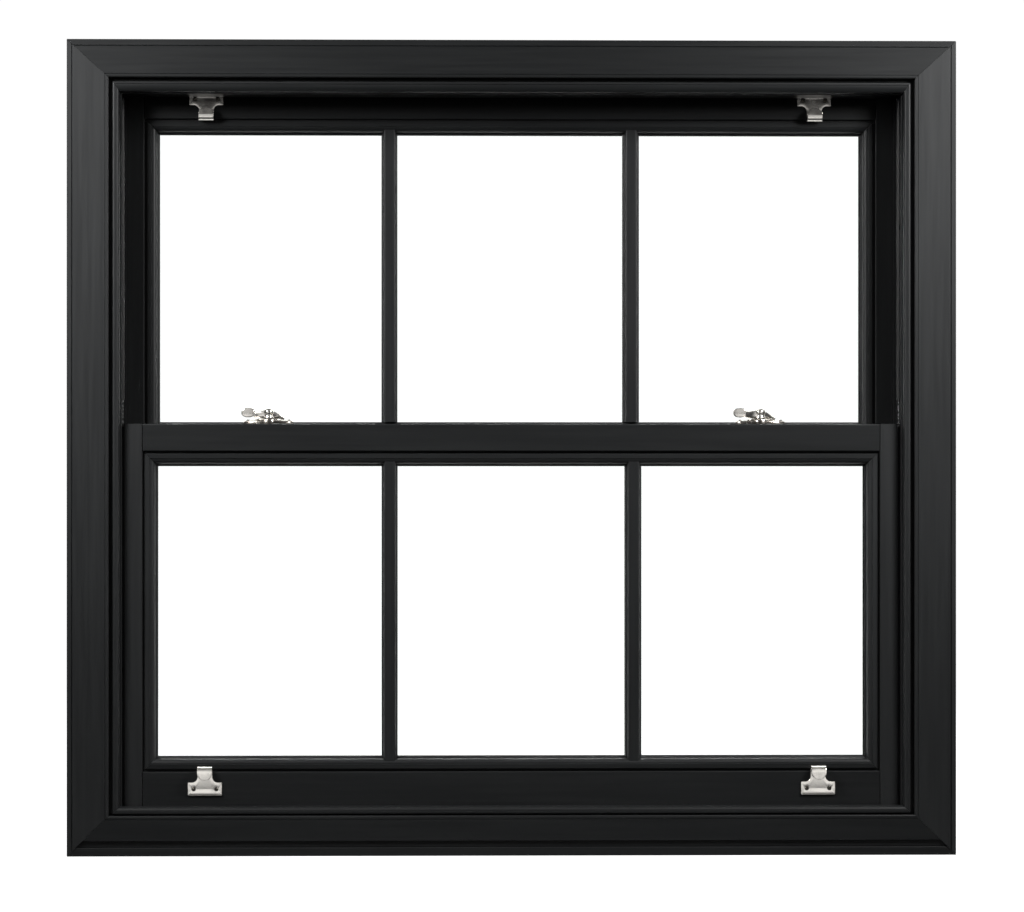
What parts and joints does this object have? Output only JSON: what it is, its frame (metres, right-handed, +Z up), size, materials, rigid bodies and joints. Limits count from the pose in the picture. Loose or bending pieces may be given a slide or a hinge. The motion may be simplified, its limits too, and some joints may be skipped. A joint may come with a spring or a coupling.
{
  "type": "vertical sliding sash window",
  "caption": "Vertical sliding sash window in a mitred outer frame, glazed sashes with upright bars, hook lifts and rotary fasteners at the meeting rails.",
  "frame": {"origin": "underside of the sill, at mid width and mid depth of the frame", "axes": "+Z up along the jambs, X across the width, -Y towards the room, +Y towards the outside"},
  "size_m": [1.2, 0.136, 1.1],
  "materials": {
    "foiled_profile": "satin charcoal black woodgrain foil on white hollow profile",
    "galvanised_steel": "galvanised",
    "rod_steel": "bright drawn steel",
    "nylon": "moulded nylon",
    "tube_pvc": "black PVC balance tube",
    "glass": "clear float glass",
    "spacer": "black warm-edge spacer",
    "seal_rubber": "black rubber gasket",
    "pile": "woven brush pile",
    "nickel": "polished nickel"
  },
  "bodies": {
    "lower_sash": {"lower_stile_left": "foiled_profile", "lower_stile_right": "foiled_profile", "lower_meeting_rail": "foiled_profile", "lower_bottom_rail": "foiled_profile", "lower_bead_top": "foiled_profile", "lower_bead_bottom": "foiled_profile", "lower_bead_left": "foiled_profile", "lower_bead_right": "foiled_profile", "lower_glass_inner": "glass", "lower_glass_outer": "glass", "lower_spacer": "spacer", "lower_gaskets": "seal_rubber", "lower_bars_inside": "foiled_profile", "lower_bars_outside": "foiled_profile", "lower_steel": "galvanised_steel", "lower_interlock": "foiled_profile", "lower_pile_seals": "pile", "lower_balance_rods": "rod_steel", "lower_balance_shoes": "nylon", "lower_lifts": "nickel", "lower_screws": "nickel", "fastener_bases": "nickel"},
    "upper_sash": {"upper_stile_left": "foiled_profile", "upper_stile_right": "foiled_profile", "upper_top_rail": "foiled_profile", "upper_meeting_rail": "foiled_profile", "upper_bead_top": "foiled_profile", "upper_bead_bottom": "foiled_profile", "upper_bead_left": "foiled_profile", "upper_bead_right": "foiled_profile", "upper_glass_inner": "glass", "upper_glass_outer": "glass", "upper_spacer": "spacer", "upper_gaskets": "seal_rubber", "upper_bars_inside": "foiled_profile", "upper_bars_outside": "foiled_profile", "upper_steel": "galvanised_steel", "upper_interlock": "foiled_profile", "upper_pile_seals": "pile", "upper_balance_rods": "rod_steel", "upper_balance_shoes": "nylon", "upper_lifts": "nickel", "upper_screws": "nickel", "fastener_keeps": "nickel"},
    "lever_left": {"fastener_lever_left": "nickel"},
    "lever_right": {"fastener_lever_right": "nickel"},
    "frame": {"frame_head": "foiled_profile", "frame_jamb_left": "foiled_profile", "frame_jamb_right": "foiled_profile", "frame_sill": "foiled_profile", "staff_bead_head": "foiled_profile", "staff_bead_left": "foiled_profile", "staff_bead_right": "foiled_profile", "staff_bead_sill": "foiled_profile", "parting_beads": "foiled_profile", "frame_steel": "galvanised_steel", "balance_tubes": "tube_pvc", "balance_bushes": "nylon", "balance_hangers": "nylon", "travel_stops": "seal_rubber"}
  },
  "joints": [
    {"name": "lower_sash_slide", "type": "slide", "parent": "frame", "child": "lower_sash", "axis": [0, 0, 1], "range_m": [0, 0.275]},
    {"name": "upper_sash_slide", "type": "slide", "parent": "frame", "child": "upper_sash", "axis": [0, 0, -1], "range_m": [0, 0.098]},
    {"name": "left_fastener_turn", "type": "hinge", "parent": "lower_sash", "child": "lever_left", "pos_m": [-0.33, -0.0175, 0.59], "axis": [0, 0, 1], "range_deg": [0, 150]},
    {"name": "right_fastener_turn", "type": "hinge", "parent": "lower_sash", "child": "lever_right", "pos_m": [0.34, -0.0175, 0.59], "axis": [0, 0, 1], "range_deg": [0, 150]}
  ]
}
